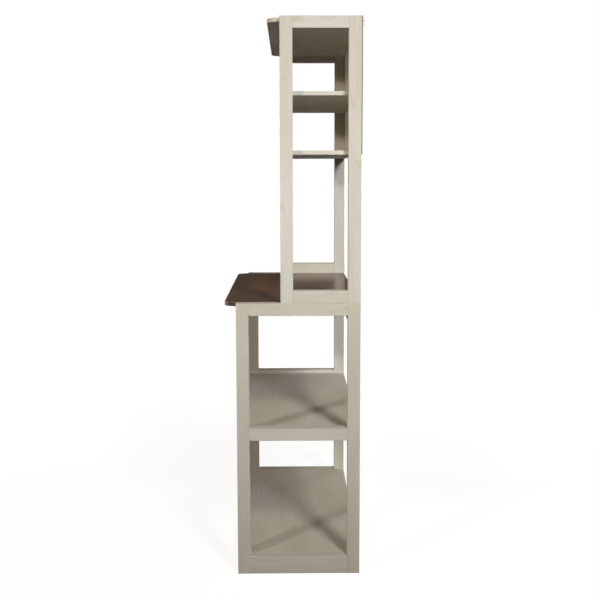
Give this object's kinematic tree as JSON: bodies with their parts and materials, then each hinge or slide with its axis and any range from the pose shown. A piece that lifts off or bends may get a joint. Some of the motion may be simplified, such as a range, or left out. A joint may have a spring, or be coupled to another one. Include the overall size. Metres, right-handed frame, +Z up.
{
  "type": "bakers rack",
  "caption": "Open bakers rack: square-post side frames with a dark counter and shelves, under a shallower hutch with a fixed shelf, a loose shelf on pins and a thin back behind them.",
  "frame": {"origin": "on the floor under the centre of the rack's bounding box", "axes": "+X to the right-hand end as seen from the front, -Y the front, +Z up"},
  "size_m": [1.067, 0.4576, 1.829],
  "materials": {
    "white_paint": "brushed off-white wash over wood grain, satin",
    "walnut": "dark walnut stain under satin lacquer",
    "hardboard": "raw brown hardboard with a sawn edge",
    "beech": "plain beech dowel",
    "zinc_steel": "zinc-plated steel",
    "zinc_cast": "die-cast zinc"
  },
  "bodies": {
    "rack": {"back_apron": "white_paint", "back_plinth": "white_paint", "base_frame_dowels": "beech", "base_left_back_leg": "white_paint", "base_left_bottom_rail": "white_paint", "base_left_front_leg": "white_paint", "base_left_mid_rail": "white_paint", "base_left_top_rail": "white_paint", "base_right_back_leg": "white_paint", "base_right_bottom_rail": "white_paint", "base_right_front_leg": "white_paint", "base_right_mid_rail": "white_paint", "base_right_top_rail": "white_paint", "bottom_shelf": "white_paint", "cam_locks": "zinc_cast", "cam_studs": "zinc_steel", "counter": "walnut", "cross_rail_dowels": "beech", "fixed_hutch_shelf": "white_paint", "front_apron": "white_paint", "front_plinth": "white_paint", "hutch_frame_dowels": "beech", "hutch_left_back_post": "white_paint", "hutch_left_bottom_rail": "white_paint", "hutch_left_front_post": "white_paint", "hutch_left_top_rail": "white_paint", "hutch_right_back_post": "white_paint", "hutch_right_bottom_rail": "white_paint", "hutch_right_front_post": "white_paint", "hutch_right_top_rail": "white_paint", "mid_shelf": "white_paint", "mid_shelf_back_lipping": "white_paint", "mid_shelf_front_lipping": "white_paint", "seam_dowels": "beech", "seam_plate_left": "zinc_steel", "seam_plate_right": "zinc_steel", "seam_plate_screws": "zinc_steel", "shelf_pins": "zinc_steel", "top_board": "white_paint", "upper_back_panel": "hardboard", "upper_back_screws": "zinc_steel", "wall_bracket_left": "zinc_steel", "wall_bracket_right": "zinc_steel", "wall_bracket_screws": "zinc_steel"},
    "loose_shelf": {"loose_hutch_shelf": "white_paint"}
  },
  "joints": [
    {"name": "loose_shelf_lift", "type": "slide", "parent": "rack", "child": "loose_shelf", "axis": [0, 0, 1], "range_m": [0, 0.215]}
  ]
}
